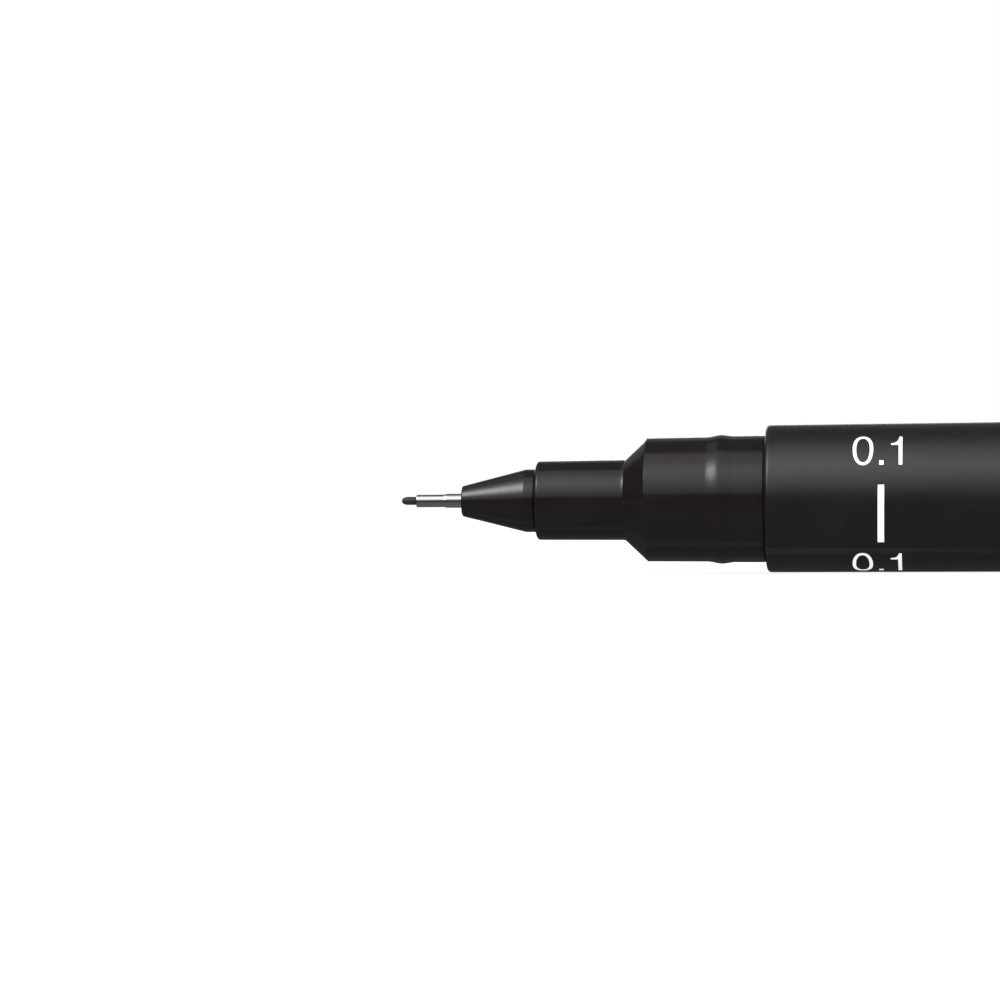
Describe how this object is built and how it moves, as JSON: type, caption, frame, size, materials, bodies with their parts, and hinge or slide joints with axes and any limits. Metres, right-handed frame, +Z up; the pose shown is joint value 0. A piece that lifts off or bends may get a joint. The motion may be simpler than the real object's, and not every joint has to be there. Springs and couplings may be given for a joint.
{
  "type": "technical pen",
  "caption": "Slim technical drawing pen, uncapped: steel-sleeved fine point, stepped glossy front, satin barrel, and a push-fit cap with a sprung pocket clip posted on its tail.",
  "frame": {"origin": "on the surface the pen lies on, under the middle of its bounding box", "axes": "+X along the pen towards the posted cap, so the point is towards -X; +Z up, away from the surface; the pocket clip leans down towards -Y and meets the surface"},
  "size_m": [0.1528, 0.0124, 0.0109],
  "materials": {
    "nib_plastic": "inked capillary plastic, dull",
    "steel": "drawn and polished stainless",
    "gloss_black": "moulded, high gloss",
    "satin_black": "moulded, fine satin grain",
    "wick_fibre": "bonded polyester fibre",
    "inked_fibre": "ink-soaked fibre bundle",
    "clear_film": "thin wrapped film",
    "liner_plastic": "moulded polypropylene",
    "print_white": "pad-printed ink on the barrel"
  },
  "bodies": {
    "pen_body": {"nib": "nib_plastic", "nib_sleeve": "steel", "nib_holder": "gloss_black", "front_section": "gloss_black", "barrel": "satin_black", "tail_plug": "satin_black", "feed_wick": "wick_fibre", "ink_reservoir": "inked_fibre", "reservoir_wrap": "clear_film"},
    "cap": {"cap_shell": "satin_black", "inner_cap": "liner_plastic", "cap_crown": "gloss_black"},
    "clip_strip": {"clip": "steel"}
  },
  "joints": [
    {"name": "cap_slide", "type": "slide", "parent": "pen_body", "child": "cap", "axis": [1, 0, 0], "range_m": [0, 0.02]},
    {"name": "clip_flex", "type": "hinge", "parent": "cap", "child": "clip_strip", "pos_m": [0.0716, -0.00396, 0.00248], "axis": [0, -0.5284, 0.849], "range_deg": [0, 6], "stiffness_Nm_per_rad": 1, "springref_deg": -1.15}
  ]
}
